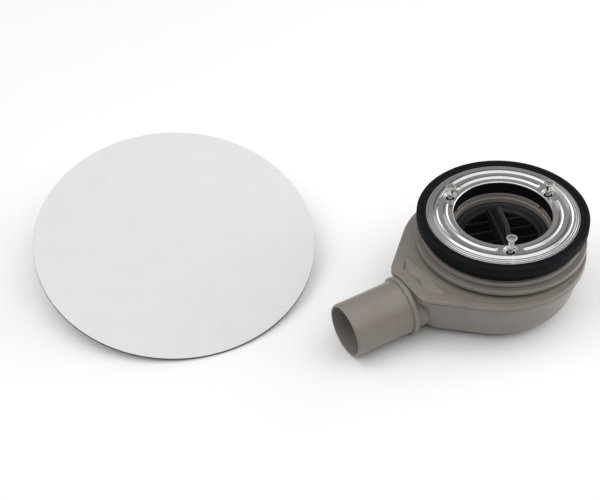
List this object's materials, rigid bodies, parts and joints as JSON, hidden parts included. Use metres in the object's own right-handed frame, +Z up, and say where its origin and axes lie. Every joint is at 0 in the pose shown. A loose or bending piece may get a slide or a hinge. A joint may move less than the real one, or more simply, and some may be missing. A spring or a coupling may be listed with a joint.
{
  "type": "shower trap",
  "caption": "Low shower trap with round body, slightly falling outlet spigot, rubber tray seal, pressed steel clamping ring, lift-out insert with grip web, and its round cover plate lying apart.",
  "frame": {"origin": "where the trap's axis meets the floor, on the bowl's flat foot", "axes": "+Z up along the trap's axis, -X towards the outlet, square to the body's straight front edge"},
  "size_m": [0.3583, 0.3182, 0.0815],
  "materials": {
    "body_plastic": "satin",
    "seal_rubber": "matte",
    "ring_steel": "satin",
    "screw_steel": "polished",
    "insert_brass": "plain",
    "insert_plastic": "satin",
    "cover_face": "matte",
    "clip_plastic": "matte"
  },
  "bodies": {
    "root": {"lower_bowl": "body_plastic", "upper_shell": "body_plastic", "outlet_spigot": "body_plastic", "tray_gasket": "seal_rubber", "insert_seal": "seal_rubber", "clamp_ring": "ring_steel", "clamp_screws": "screw_steel", "screw_inserts": "insert_brass", "trap_insert": "insert_plastic", "cover_plate": "cover_face", "cover_clip": "clip_plastic"}
  },
  "joints": []
}
